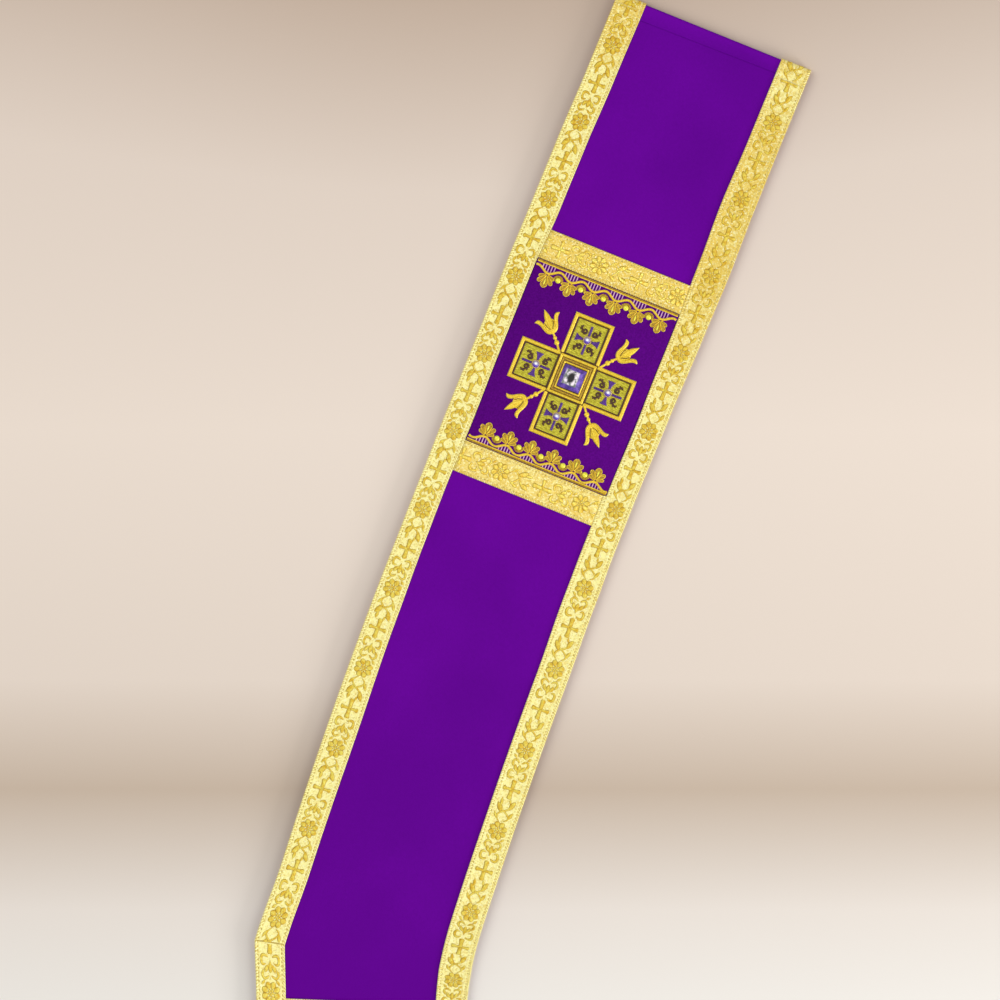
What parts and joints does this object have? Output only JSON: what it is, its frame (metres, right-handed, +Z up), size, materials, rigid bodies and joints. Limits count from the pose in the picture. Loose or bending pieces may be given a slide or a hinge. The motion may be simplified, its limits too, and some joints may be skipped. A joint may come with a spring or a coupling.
{
  "type": "deacon stole",
  "caption": "Flat-laid deacon's stole: a long purple band folded at the shoulder, bound in gold galloon, with an embroidered cross panel and a bend at the hip.",
  "frame": {"origin": "under the middle of the whole stole, on the surface that it lies on", "axes": "+Z up out of the surface; +Y from the hanging end towards the shoulder fold; +X across the band, towards the side that the shoulder leans to"},
  "size_m": [0.37, 1.3032, 0.0103],
  "materials": {
    "purple_cloth": "soft satin weave",
    "panel_cloth": "matte ground under dense gold thread embroidery",
    "gold_galloon": "woven metallic gold thread",
    "crystal": "faceted, foil-backed, polished"
  },
  "bodies": {
    "root": {"front_cloth": "purple_cloth", "back_cloth": "purple_cloth", "front_galloon_left": "gold_galloon", "front_galloon_right": "gold_galloon", "back_galloon_left": "gold_galloon", "back_galloon_right": "gold_galloon", "cross_galloon_upper": "gold_galloon", "cross_galloon_lower": "gold_galloon", "cross_galloon_hip": "gold_galloon", "embroidered_panel": "panel_cloth", "centre_stone": "crystal", "arm_stone_top": "crystal", "arm_stone_right": "crystal", "arm_stone_bottom": "crystal", "arm_stone_left": "crystal"}
  },
  "joints": []
}
